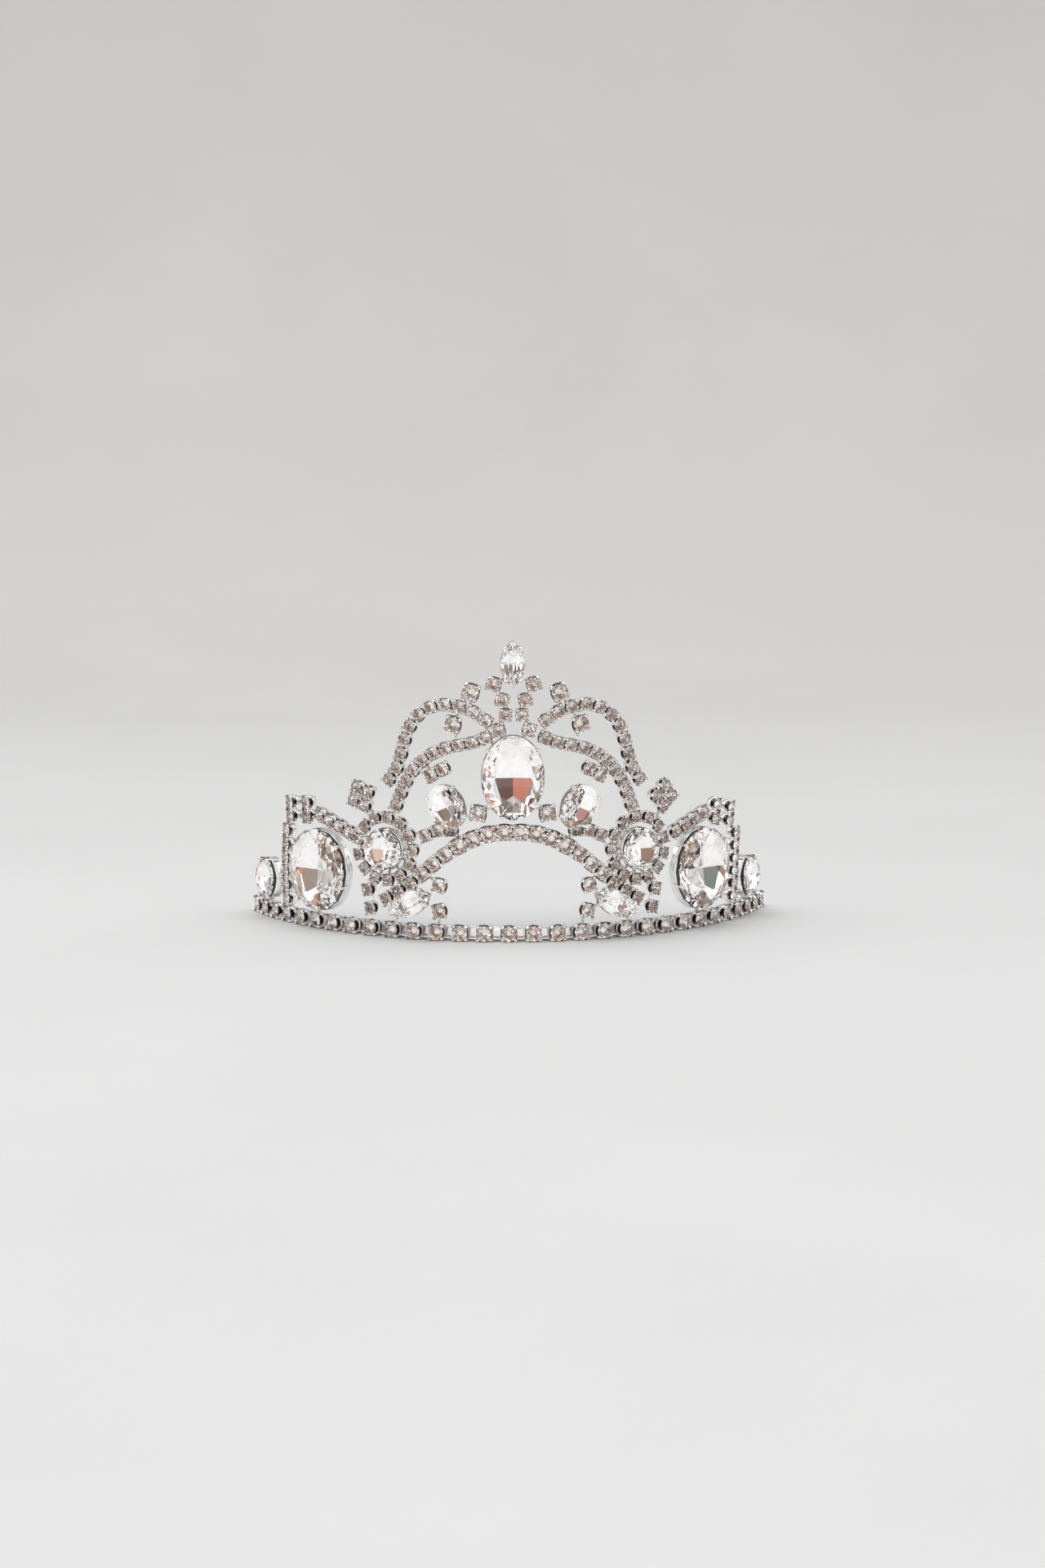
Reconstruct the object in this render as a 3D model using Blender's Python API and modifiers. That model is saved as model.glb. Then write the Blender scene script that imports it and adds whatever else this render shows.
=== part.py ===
"""Bridal tiara: claw-set crystals and small cup chains on a curved base band.

The design is drawn flat, in millimetres, as if the tiara were unrolled:
  along  runs along the band from the front centre, positive towards +X
  up     runs up from the centre line of the base chain
  out    runs outwards, with zero close to the small stones' faces
place() bends that drawing on to the band's plan curve, the front part of an
ellipse.  The world is in metres, +Z up, front facing -Y, with the origin on
the band's bottom face, at the front centre, mid thickness.  "Right" in names
is +X, the right of someone who looks at the front.
"""

import bisect
import functools
import math
from typing import Callable, NamedTuple

import bmesh
import bpy
from mathutils import Matrix, Vector

MM = 0.001

# ---------------------------------------------------------------- dimensions
ELLIPSE_ACROSS = 60.4  # half width of the plan ellipse, where out is zero
ELLIPSE_DEEP = 69.5  # half depth of the plan ellipse
ARC_STEPS = 2400
ARC_END = 2.3  # the arc table stops at this ellipse angle, in radians

BAND_HEIGHT = 2.95
BAND_THICK = 0.7
BAND_FACE_OUT = -2.6  # the band's front face
BAND_LEFT_END, BAND_RIGHT_END = -74.9, 78.2
BAND_STEPS = 48
CHAIN_HEIGHT = 1.7  # the base chain's centre line over the band's foot

GAP = 0.3  # clearance of the claws from their stones and of the pin loops from the band
LOOP_RADIUS = 1.7
LOOP_WIRE = 0.4  # radius of the pin loops' wire
LOOP_INSET = 1.6  # from the band's end to the loop's centre

BASE_CUP = 3.2
BASE_PITCH = 5.15
BASE_FIRST = -0.83  # the chain sits slightly off the centre
BASE_LEFT_CUPS, BASE_RIGHT_CUPS = 14, 15  # on either side of the first cup

# Small cups; shares are of the cup's size.
CUP_BACK_OUT = -2.3
CUP_RIM_OUT = -0.55
CUP_TAPER = 0.84  # size of the back over size of the rim
CUP_RIM_SHARE = 0.07  # width of the flat rim
STONE_SLOPE_SHARE = 0.2  # width of the small stone's bevel
STONE_RISE = 0.62
SMALL_CUP = 2.6
SMALL_PITCH = 3.02
BLOCK_PITCH = 2.95

ARCH_CENTRE_CUP, ARCH_CENTRE_END = 3.3, 13  # size, and how far along it is used
ARCH_MIDDLE_CUP, ARCH_MIDDLE_END = 2.9, 21
ARCH_PITCH = 3.45

# Straps between cups
LINK_OUT = -1.75
LINK_WIDE = 0.9
LINK_THICK = 0.5
LINK_BITE = 0.35  # overlap into each cup
LINK_CUP_SHARE = 0.46  # a cup's side lies this share of its size from its centre
RAIL_UP = 1.22  # the base chain's two rails, above and below its centre line
RAIL_WIDE = 0.5
SINGLE_STRAP = ((0.0, LINK_WIDE),)  # (shift up, width) of each strap in a link
TWO_RAILS = ((RAIL_UP, RAIL_WIDE), (-RAIL_UP, RAIL_WIDE))

BEAD_OUT = -1.25
BEAD_RADIUS = 0.45

# Large stones; heights are measured outwards from the girdle's mid plane.
GIRDLE_HALF = 0.18
BREAK_SCALE = 0.84  # the crown's slope breaks at this share of the girdle ...
BREAK_HEIGHT = 0.58  # ... and at this share of the crown's height
NAVETTE_STEPS = 16
NAVETTE_TIP_GROWTH = 1.6  # a grown outline moves this much further at its points

WALL_INSIDE = 0.35  # the setting's wall stands this far inside the girdle ...
WALL_OUTSIDE = 0.25  # ... and this far outside it
WALL_FRONT = -0.9
DEEP_WALL = -2.4  # back of the wall
SHALLOW_WALL = -1.35

CLAW_RADIUS = 0.33
CLAW_REACH = 0.3  # how far a claw leans in over the crown
CLAW_FOOT = 0.1  # how far outside the girdle it starts, in the wall
CLAW_SLACK = 0.04
CLAW_STRAIGHT = (-0.35, 0.45)  # ends of its upright part


class Cup(NamedTuple):
    along: float
    up: float
    roll: float  # radians
    size: float


class Stone(NamedTuple):
    name: str
    outline: Callable
    half_wide: float
    half_high: float
    along: float
    up: float
    out: float
    roll: float  # degrees
    crown: float
    pavilion: float
    claws: tuple  # degrees round the outline
    wall_back: float = DEEP_WALL


# ---------------------------------------------------------------- clean start
for old in list(bpy.data.objects):
    bpy.data.objects.remove(old, do_unlink=True)

parts = bpy.data.collections.new("bridal_tiara")
helpers = bpy.data.collections.new("joining_shapes")
bpy.context.scene.collection.children.link(parts)
bpy.context.scene.collection.children.link(helpers)


# ---------------------------------------------------------------- materials
def material(name, colour, roughness, metallic, transmission=0.0):
    made = bpy.data.materials.new(name)
    made.use_nodes = True
    shader = made.node_tree.nodes["Principled BSDF"]
    shader.inputs["Base Color"].default_value = (*colour, 1.0)
    shader.inputs["Roughness"].default_value = roughness
    shader.inputs["Metallic"].default_value = metallic
    shader.inputs["Transmission Weight"].default_value = transmission
    made.diffuse_color = (*colour, 1.0)
    return made


silver = material(
    "bright_silver_plate", colour=(0.82, 0.80, 0.78), roughness=0.16, metallic=1.0
)
silver_and_stones = material(
    "silver_cups_with_stones", colour=(0.74, 0.71, 0.68), roughness=0.2, metallic=0.9
)
band_silver = material(
    "polished_band", colour=(0.86, 0.85, 0.84), roughness=0.12, metallic=1.0
)
crystal = material(
    "clear_foiled_crystal",
    colour=(0.9, 0.92, 0.94),
    roughness=0.03,
    metallic=0.0,
    transmission=0.6,
)


# ---------------------------------------------------------------- plan curve
def arc_table():
    """Arc lengths and the ellipse angles they reach, by the trapezium rule."""
    step = ARC_END / ARC_STEPS

    def speed(angle):
        return math.hypot(ELLIPSE_ACROSS * math.cos(angle), ELLIPSE_DEEP * math.sin(angle))

    lengths, angles = [0.0], [0.0]
    for i in range(1, ARC_STEPS + 1):
        lengths.append(lengths[-1] + 0.5 * step * (speed((i - 1) * step) + speed(i * step)))
        angles.append(i * step)
    return lengths, angles


ARC_LENGTHS, ARC_ANGLES = arc_table()


def ellipse_angle(length):
    high = bisect.bisect_right(ARC_LENGTHS, length)
    low = high - 1
    rise = ARC_ANGLES[high] - ARC_ANGLES[low]
    run = ARC_LENGTHS[high] - ARC_LENGTHS[low]
    return ARC_ANGLES[low] + rise * (length - ARC_LENGTHS[low]) / run


def place(along, up, out=0.0, roll=0.0):
    """World matrix of the drawing's point: local X along the band, Y up, Z outwards."""
    side = -1.0 if along < 0 else 1.0
    angle = ellipse_angle(abs(along))
    x = side * ELLIPSE_ACROSS * math.sin(angle)
    y = ELLIPSE_DEEP * (1.0 - math.cos(angle)) + BAND_FACE_OUT - BAND_THICK / 2
    heading = side * math.atan2(
        ELLIPSE_DEEP * math.sin(angle), ELLIPSE_ACROSS * math.cos(angle)
    )
    tangent = Vector((math.cos(heading), math.sin(heading), 0.0))
    normal = Vector((math.sin(heading), -math.cos(heading), 0.0))
    spot = Vector((x, y, up + CHAIN_HEIGHT)) + normal * out
    turn = Matrix((tangent, Vector((0.0, 0.0, 1.0)), normal)).transposed().to_4x4()
    return Matrix.Translation(spot * MM) @ turn @ Matrix.Rotation(roll, 4, "Z")


# ---------------------------------------------------------------- mesh tools
def mesh_from(shell, name):
    mesh = bpy.data.meshes.new(name)
    bmesh.ops.recalc_face_normals(shell, faces=shell.faces)
    shell.to_mesh(mesh)
    shell.free()
    return mesh


def object_from(shell, name, helper=False):
    made = bpy.data.objects.new(name, mesh_from(shell, name))
    (helpers if helper else parts).objects.link(made)
    if helper:
        made.hide_render = True
        made.display_type = "WIRE"
    return made


def solid_from_curve(curve_object, name, helper=False):
    """The curve's own solid, with its loose caps welded on; the curve is removed."""
    bpy.context.view_layer.update()
    graph = bpy.context.evaluated_depsgraph_get()
    mesh = bpy.data.meshes.new_from_object(curve_object.evaluated_get(graph))
    shell = bmesh.new()
    shell.from_mesh(mesh)
    bmesh.ops.remove_doubles(shell, verts=shell.verts, dist=2e-6)
    made = object_from(shell, name, helper)
    made.matrix_world = curve_object.matrix_world.copy()
    bpy.data.objects.remove(curve_object, do_unlink=True)
    bpy.data.meshes.remove(mesh)
    return made


def add_spline(curve, points):
    """A straight-sided spline through (x, y, z) points in millimetres."""
    spline = curve.splines.new("POLY")
    spline.points.add(len(points) - 1)
    for point, (x, y, z) in zip(spline.points, points):
        point.co = (x * MM, y * MM, z * MM, 1.0)
    return spline


def curve_object_from(curve, name):
    made = bpy.data.objects.new(name, curve)
    helpers.objects.link(made)
    return made


def flat_outline(name, loops, low, high):
    """A plate between two heights: the first loop outside, any others holes."""
    curve = bpy.data.curves.new(name, "CURVE")
    curve.dimensions = "2D"
    curve.fill_mode = "BOTH"
    curve.extrude = 0.5 * (high - low) * MM
    for loop in loops:
        spline = add_spline(curve, [(x, y, 0.0) for x, y in loop])
        spline.use_cyclic_u = True
    made = curve_object_from(curve, name)
    made.location.z = 0.5 * (low + high) * MM
    return made


def wires(name, paths, radius):
    """Capped wires of square section along the given paths, one spline each."""
    curve = bpy.data.curves.new(name, "CURVE")
    curve.dimensions = "3D"
    curve.bevel_depth = radius * MM
    curve.bevel_resolution = 0
    curve.use_fill_caps = True
    for path in paths:
        add_spline(curve, path)
    return curve_object_from(curve, name)


def union(target, operand):
    joined = target.modifiers.new("join_" + operand.name, "BOOLEAN")
    joined.operation = "UNION"
    joined.solver = "EXACT"
    joined.object = operand


# ---------------------------------------------------------------- small cups
@functools.cache
def cup_mesh(size):
    """A tapered square cup with its bevelled stone on top, at the local origin."""
    deep = CUP_RIM_OUT - CUP_BACK_OUT
    shell = bmesh.new()
    bmesh.ops.create_cube(shell, size=1.0)
    bmesh.ops.scale(shell, vec=(size * MM, size * MM, deep * MM), verts=shell.verts)
    for corner in shell.verts:
        if corner.co.z < 0:
            corner.co.x *= CUP_TAPER
            corner.co.y *= CUP_TAPER
        corner.co.z += 0.5 * (CUP_RIM_OUT + CUP_BACK_OUT) * MM
    top = max(shell.faces, key=lambda face: face.calc_center_median().z)
    for share, rise in ((CUP_RIM_SHARE, 0.0), (STONE_SLOPE_SHARE, STONE_RISE)):
        bmesh.ops.inset_region(
            shell, faces=[top], thickness=share * size * MM, depth=rise * MM
        )
    return mesh_from(shell, "cup_%03d" % round(size * 100))


def add_cup(shell, cup):
    before = len(shell.verts)
    shell.from_mesh(cup_mesh(cup.size))
    shell.verts.ensure_lookup_table()
    where = place(cup.along, cup.up, 0.0, cup.roll)
    bmesh.ops.transform(shell, matrix=where, verts=shell.verts[before:])


def add_link(shell, first, second, shift, wide):
    """A flat strap from one cup's side to the next cup's side."""
    start = place(first.along, first.up + shift, LINK_OUT)
    end = place(second.along, second.up + shift, LINK_OUT)
    chord = end.translation - start.translation
    run = chord.normalized()
    cup_sides = LINK_CUP_SHARE * (first.size + second.size)
    length = chord.length - cup_sides * MM + 2 * LINK_BITE * MM
    centre = start.translation + run * (
        0.5 * length + (LINK_CUP_SHARE * first.size - LINK_BITE) * MM
    )
    normal = (start.col[2].to_3d() + end.col[2].to_3d()).normalized()
    normal = (normal - run * normal.dot(run)).normalized()
    turn = Matrix((run, normal.cross(run), normal)).transposed().to_4x4()
    shape = Matrix.Diagonal((length, wide * MM, LINK_THICK * MM, 1.0))
    bmesh.ops.create_cube(
        shell, size=1.0, matrix=Matrix.Translation(centre) @ turn @ shape
    )


def strand(name, cups, links=None, beads=(), straps=SINGLE_STRAP):
    """Cups joined by straps, one after the other unless links lists index pairs.

    beads holds the (along, up) of each small ball.
    """
    shell = bmesh.new()
    for cup in cups:
        add_cup(shell, cup)
    made = object_from(shell, name)
    if links is None:
        links = [(i, i + 1) for i in range(len(cups) - 1)]
    if links or beads:
        shell = bmesh.new()
        for i, j in links:
            for shift, wide in straps:
                add_link(shell, cups[i], cups[j], shift, wide)
        for along, up in beads:
            bmesh.ops.create_uvsphere(
                shell,
                u_segments=8,
                v_segments=5,
                radius=BEAD_RADIUS * MM,
                matrix=place(along, up, BEAD_OUT),
            )
        union(made, object_from(shell, name + "_straps", helper=True))
    made.data.materials.append(silver_and_stones)


def mirrored_cups(cups, side, lean):
    return [
        Cup(side * cup.along + lean, cup.up, side * cup.roll, cup.size) for cup in cups
    ]


def pair(name, cups, links=None, beads=(), lean=0.0):
    """The same strand on the right and, mirrored, on the left.

    lean moves both copies to the right, so the right one stands further out
    from the centre than the left one.
    """
    for label, side in (("_right", 1.0), ("_left", -1.0)):
        strand(
            name + label,
            mirrored_cups(cups, side, lean),
            links,
            [(side * along + lean, up) for along, up in beads],
        )


def smooth_path(points, per_span=24):
    """Catmull-Rom curve through the drawing's control points."""
    points = [points[0], *points, points[-1]]
    path = []
    for k in range(1, len(points) - 2):
        for i in range(per_span):
            t = i / per_span
            path.append(
                tuple(
                    0.5
                    * (
                        2 * start
                        + (end - before) * t
                        + (2 * before - 5 * start + 4 * end - after) * t * t
                        + (3 * start - before - 3 * end + after) * t**3
                    )
                    for before, start, end, after in zip(*points[k - 1 : k + 3])
                )
            )
    path.append(points[-1])
    return path


def cups_along(points, pitch, size):
    """Evenly spaced cups on the curve, turned to follow it, both ends included.

    size is a number or a function of the place along the band.
    """
    path = smooth_path(points)
    lengths = [0.0]
    for start, end in zip(path, path[1:]):
        lengths.append(lengths[-1] + math.dist(start, end))
    count = round(lengths[-1] / pitch)
    cups = []
    k = 0
    for i in range(count + 1):
        want = lengths[-1] * i / count
        while k < len(path) - 2 and lengths[k + 1] < want:
            k += 1
        share = (want - lengths[k]) / (lengths[k + 1] - lengths[k])
        (along, up), (next_along, next_up) = path[k], path[k + 1]
        roll = math.atan2(next_up - up, next_along - along)
        along += (next_along - along) * share
        up += (next_up - up) * share
        cups.append(Cup(along, up, roll, size(along) if callable(size) else size))
    return cups


def block(centre, row_pitch, size, turn):
    """Four cups in two rows of two, BLOCK_PITCH between the rows."""
    cups = []
    for right, up in ((0.5, 0.5), (-0.5, 0.5), (-0.5, -0.5), (0.5, -0.5)):
        x, y = right * row_pitch, up * BLOCK_PITCH
        cups.append(
            Cup(
                centre[0] + x * math.cos(turn) - y * math.sin(turn),
                centre[1] + x * math.sin(turn) + y * math.cos(turn),
                turn,
                size,
            )
        )
    return cups


def closed_links(count):
    return [(i, (i + 1) % count) for i in range(count)]


# ---------------------------------------------------------------- large stones
def round_steps(half_high):
    return 16 if half_high > 6 else 12


def oval(half_wide, half_high, grow=0.0):
    steps = round_steps(half_high)
    angles = [2 * math.pi * i / steps for i in range(steps)]
    return [
        ((half_wide + grow) * math.cos(angle), (half_high + grow) * math.sin(angle))
        for angle in angles
    ]


def navette(half_wide, half_high, grow=0.0):
    """Two equal circular arcs that meet in a point at the top and the bottom."""
    wide, high = half_wide + grow, half_high + NAVETTE_TIP_GROWTH * grow
    radius = (high * high + wide * wide) / (2 * wide)
    outline = []
    for i in range(NAVETTE_STEPS):
        angle = 2 * math.pi * i / NAVETTE_STEPS
        y = high * math.sin(angle)
        x = math.sqrt(radius * radius - y * y) - (radius - wide)
        outline.append((x if math.cos(angle) >= 0 else -x, y))
    return outline


def gem_levels(stone, table, keel):
    """(share of the girdle, height) from the table down to the keel."""
    return [
        (table, stone.crown),
        (BREAK_SCALE, BREAK_HEIGHT * stone.crown),
        (1.0, GIRDLE_HALF),
        (1.0, -GIRDLE_HALF),
        (keel, -stone.pavilion),
    ]


def turned_gem(stone, where):
    """Round or oval stone: a stepped profile turned about its axis."""
    levels = gem_levels(stone, table=0.52, keel=0.12)
    profile = [(0.0, stone.crown), *levels, (0.0, -stone.pavilion)]
    name = stone.name + "_crystal"
    mesh = bpy.data.meshes.new(name)
    mesh.from_pydata(
        [(share * stone.half_wide * MM, 0.0, z * MM) for share, z in profile],
        [(i, i + 1) for i in range(len(profile) - 1)],
        [],
    )
    made = bpy.data.objects.new(name, mesh)
    parts.objects.link(made)
    turn = made.modifiers.new("turn", "SCREW")
    turn.axis = "Z"
    turn.steps = turn.render_steps = round_steps(stone.half_high)
    turn.use_merge_vertices = True
    turn.merge_threshold = 1e-6
    turn.use_smooth_shade = False
    stretch = stone.half_high / stone.half_wide
    made.matrix_world = where @ Matrix.Diagonal((1.0, stretch, 1.0, 1.0))
    made.data.materials.append(crystal)


def navette_gem(stone, where):
    """Pointed stone: a loft from the small table through the girdle to the keel."""
    outline = navette(stone.half_wide, stone.half_high)
    shell = bmesh.new()
    rings = [
        [shell.verts.new((x * share * MM, y * share * MM, z * MM)) for x, y in outline]
        for share, z in gem_levels(stone, table=0.5, keel=0.14)
    ]
    for upper, lower in zip(rings, rings[1:]):
        for i, j in closed_links(NAVETTE_STEPS):
            shell.faces.new((upper[i], upper[j], lower[j], lower[i]))
    shell.faces.new(rings[0])
    shell.faces.new(list(reversed(rings[-1])))
    made = object_from(shell, stone.name + "_crystal")
    made.matrix_world = where
    made.data.materials.append(crystal)


def claw_path(stone, degrees):
    """From the wall, up past the girdle, then in over the crown's lower slope."""
    angle = math.radians(degrees)
    x, y = stone.half_wide * math.cos(angle), stone.half_high * math.sin(angle)
    if stone.outline is navette:
        edge = navette(stone.half_wide, stone.half_high)
        x, y = edge[round(degrees / 360 * NAVETTE_STEPS) % NAVETTE_STEPS]
    outward = Vector((x / stone.half_wide**2, y / stone.half_high**2)).normalized()
    slope_run = (1 - BREAK_SCALE) * (x * outward.x + y * outward.y)
    slope = BREAK_HEIGHT * stone.crown / slope_run
    tip = (
        GIRDLE_HALF
        + slope * CLAW_REACH
        + (GAP + CLAW_RADIUS) * math.sqrt(1 + slope * slope)
    )
    stand_off = GAP + CLAW_RADIUS + CLAW_SLACK
    stations = (  # (distance outside the girdle, height)
        (CLAW_FOOT, 0.5 * (stone.wall_back + WALL_FRONT)),
        (stand_off, CLAW_STRAIGHT[0]),
        (stand_off, CLAW_STRAIGHT[1]),
        (-CLAW_REACH, tip),
    )
    return [(x + outward.x * away, y + outward.y * away, z) for away, z in stations]


def claw_setting(stone, where):
    """An open-backed wall under the girdle and claws that lean over the crown."""
    name = stone.name + "_setting"
    loops = [
        stone.outline(stone.half_wide, stone.half_high, grow)
        for grow in (WALL_OUTSIDE, -WALL_INSIDE)
    ]
    wall = flat_outline(name + "_wall", loops, stone.wall_back, WALL_FRONT)
    made = solid_from_curve(wall, name)
    # The wall's height goes into its mesh, so that its origin is the stone's.
    made.data.transform(made.matrix_world)

    paths = [claw_path(stone, degrees) for degrees in stone.claws]
    # The wires still hold this name, so Blender adds .001 to the solid's.
    claws = wires(name + "_claws", paths, CLAW_RADIUS)
    claws = solid_from_curve(claws, name + "_claws", helper=True)
    union(made, claws)
    made.matrix_world = where
    claws.matrix_world = where
    made.data.materials.append(silver)


def set_stone(stone):
    where = place(stone.along, stone.up, stone.out, math.radians(stone.roll))
    if stone.outline is navette:
        navette_gem(stone, where)
    else:
        turned_gem(stone, where)
    claw_setting(stone, where)


def set_stone_pair(stone):
    set_stone(stone._replace(name=stone.name + "_right"))
    set_stone(
        stone._replace(
            name=stone.name + "_left",
            along=-stone.along,
            roll=-stone.roll,
            claws=tuple(180 - degrees for degrees in stone.claws),
        )
    )


# ---------------------------------------------------------------- base
def base_band():
    def plan(along, out):
        spot = place(along, 0.0, out).translation / MM
        return spot.x, spot.y

    stations = [
        BAND_LEFT_END + (BAND_RIGHT_END - BAND_LEFT_END) * i / BAND_STEPS
        for i in range(BAND_STEPS + 1)
    ]
    front = [plan(along, BAND_FACE_OUT) for along in stations]
    back = [plan(along, BAND_FACE_OUT - BAND_THICK) for along in reversed(stations)]
    outline = flat_outline("base_band_outline", [front + back], 0.0, BAND_HEIGHT)
    band = solid_from_curve(outline, "base_band")
    band.data.materials.append(band_silver)


def base_chain():
    cups = [
        Cup(BASE_FIRST + BASE_PITCH * k, 0.0, 0.0, BASE_CUP)
        for k in range(-BASE_LEFT_CUPS, BASE_RIGHT_CUPS + 1)
    ]
    strand("base_chain", cups, straps=TWO_RAILS)


def pin_loop(label, along):
    """A wire ring behind the band, its hole running up and down."""
    bpy.ops.mesh.primitive_torus_add(
        major_segments=16,
        minor_segments=6,
        major_radius=LOOP_RADIUS * MM,
        minor_radius=LOOP_WIRE * MM,
    )
    loop = bpy.context.object
    loop.name = "pin_loop_" + label
    for owner in list(loop.users_collection):
        owner.objects.unlink(loop)
    parts.objects.link(loop)
    out = BAND_FACE_OUT - BAND_THICK - GAP - (LOOP_RADIUS + LOOP_WIRE)
    where = place(along, 0.5 * BAND_HEIGHT - CHAIN_HEIGHT, out)
    loop.matrix_world = where @ Matrix.Rotation(math.radians(90), 4, "X")
    loop.data.materials.append(silver)


base_band()
base_chain()
pin_loop("right", BAND_RIGHT_END - LOOP_INSET)
pin_loop("left", BAND_LEFT_END + LOOP_INSET)

# ---------------------------------------------------------------- arches
# Control points, (along, up), from the centre outwards.
LOWER_ARCH = [
    (0.0, 21.0), (5.0, 20.6), (9.6, 19.0), (14.2, 16.2),
    (18.4, 12.8), (22.4, 9.45), (27.6, 6.4),
]
OUTER_ARCH = [
    (6.3, 44.1), (9.3, 46.0), (12.3, 46.9), (15.4, 47.1), (19.0, 46.1),
    (21.7, 43.8), (23.3, 41.0), (24.3, 37.8), (25.4, 34.3), (27.4, 31.4),
]
INNER_ARCH = [
    (6.25, 40.45), (9.0, 39.4), (12.9, 38.6), (16.4, 37.5), (19.5, 35.6),
    (21.8, 33.3), (23.4, 30.9), (24.6, 28.5), (25.6, 26.1),
]
BRANCH_ROW = [(13.0, 21.35), (16.0, 21.1), (18.7, 20.0)]


def lower_arch():
    def size(along):
        if abs(along) < ARCH_CENTRE_END:
            return ARCH_CENTRE_CUP
        return ARCH_MIDDLE_CUP if abs(along) < ARCH_MIDDLE_END else SMALL_CUP

    left_half = [(-along, up) for along, up in reversed(LOWER_ARCH[1:])]
    strand("lower_arch", cups_along(left_half + LOWER_ARCH, ARCH_PITCH, size))


lower_arch()
pair("outer_arch", cups_along(OUTER_ARCH, SMALL_PITCH, SMALL_CUP), lean=0.6)
pair("inner_arch", cups_along(INNER_ARCH, SMALL_PITCH, SMALL_CUP), lean=0.45)
pair("branch_row", cups_along(BRANCH_ROW, 3.1, SMALL_CUP), lean=0.2)

# ---------------------------------------------------------------- small groups
# Cups are (along, up, roll, size).
FLEURON = [
    Cup(4.1, 51.5, 0.3, 2.8),
    Cup(2.4, 48.3, 0.25, 2.6),
    Cup(1.7, 45.2, 0.05, 2.4),
    Cup(3.2, 42.2, -0.25, 2.5),
]
DROP_PAIR = [Cup(15.4, 33.9, -0.45, 2.6), Cup(18.0, 32.5, -0.45, 2.6)]

pair("fleuron", FLEURON, lean=0.2)
pair("upper_petal", [Cup(9.2, 49.9, 0.35, 3.1)], beads=[(9.3, 48.05)], lean=0.5)
pair("lower_petal", [Cup(13.4, 43.2, 0.25, 3.0)], beads=[(12.85, 41.25)], lean=0.9)
pair("drop_pair", DROP_PAIR, lean=0.75)
pair("spacer_cup", [Cup(7.25, 24.95, 0.1, 3.1)])
pair("upper_end_cup", [Cup(15.9, 9.75, 0.2, 2.8)], lean=0.4)
pair("lower_end_cup", [Cup(15.75, 4.4, -0.2, 2.8)], lean=0.2)
pair("short_leg", cups_along([(32.2, 7.9), (31.5, 4.1)], 4.0, SMALL_CUP))

# ---------------------------------------------------------------- rings of cups
HALO_CENTRE = (28.0, 16.8)
HALO_RADIUS = 6.55
HALO_CUPS = 13
HALO_CUP = 2.4


def medium_halo():
    """A closed ring of cups round each medium stone."""
    cups = []
    for i in range(HALO_CUPS):
        angle = 2 * math.pi * (i + 0.5) / HALO_CUPS
        along = HALO_CENTRE[0] + HALO_RADIUS * math.cos(angle)
        up = HALO_CENTRE[1] + HALO_RADIUS * math.sin(angle)
        cups.append(Cup(along, up, angle + math.pi / 2, HALO_CUP))
    pair("medium_halo", cups, closed_links(HALO_CUPS))


medium_halo()
for label, centre, turn in (
    ("right", (34.5, 27.3), 0.7),
    ("left", (-33.9, 27.4), -0.3),
):
    cluster = block(centre, BLOCK_PITCH, SMALL_CUP, turn)
    strand("inner_cluster_" + label, cluster, closed_links(4))

# ---------------------------------------------------------------- sides
SIDE_ROW = [(37.5, 19.5), (41.3, 21.0), (46.2, 22.6)]
SIDE_LEAN = 0.5
SIDE_BLOCK_ROW_PITCH = 6.0
COLUMN_PITCH = 2.9


def side_strand(label, side, centre, turn):
    """A row of cups tied to the nearest cup of a block of four."""
    row = mirrored_cups(cups_along(SIDE_ROW, 3.0, 2.7), side, SIDE_LEAN)
    four = block(centre, SIDE_BLOCK_ROW_PITCH, 2.8, turn)
    nearest = min(range(4), key=lambda i: math.dist(row[-1][:2], four[i][:2]))
    count = len(row)
    links = [(i, i + 1) for i in range(count - 1)]
    links += [(count + i, count + j) for i, j in closed_links(4)]
    links.append((count - 1, count + nearest))
    strand("side_strand_" + label, row + four, links)


side_strand("right", side=1.0, centre=(54.1, 21.9), turn=-0.2)
side_strand("left", side=-1.0, centre=(-52.9, 23.0), turn=0.08)

for label, points in (
    ("right", [(59.9, 16.9), (59.3, 11.0), (58.6, 3.4)]),
    ("left", [(-57.4, 18.1), (-57.9, 11.0), (-57.6, 3.4)]),
):
    strand("side_column_" + label, cups_along(points, COLUMN_PITCH, SMALL_CUP))

# ---------------------------------------------------------------- stone tables
OVAL_CLAWS = (40, 140, 220, 320)
NAVETTE_CLAWS = (45, 135, 225, 315)

# name, outline, half_wide, half_high, along, up, out, roll, crown, pavilion, claws,
# and wall_back where the wall is shallow
CENTRE_STONES = [
    Stone("centre", oval, 6.5, 8.75, 0.0, 32.4, 0.9, 0, 2.6, 3.4, OVAL_CLAWS),
    Stone("top", navette, 2.55, 4.75, 0.0, 55.65, 0.2, 0, 1.5, 1.9, NAVETTE_CLAWS),
]
PAIRED_STONES = [
    Stone("flank", oval, 3.8, 4.9, 13.4, 26.3, 1.7, -24, 1.9, 2.2, OVAL_CLAWS, SHALLOW_WALL),
    Stone("medium", oval, 4.45, 4.45, 27.85, 16.72, 0.5, 0, 1.9, 2.6, (28, 111, 194, 277)),
    Stone("side", oval, 8.7, 8.7, 45.6, 11.0, 0.5, 0, 3.0, 4.2, (38, 142, 200, 310)),
    Stone("end", oval, 4.4, 4.4, 65.4, 6.95, 0.5, 0, 1.9, 2.6, (60, 120, 240, 300)),
    Stone("lower", navette, 2.6, 5.3, 21.5, 5.9, 1.7, 65, 1.6, 2.0, NAVETTE_CLAWS, SHALLOW_WALL),
]

for stone in CENTRE_STONES:
    set_stone(stone)
for stone in PAIRED_STONES:
    set_stone_pair(stone)
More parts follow.
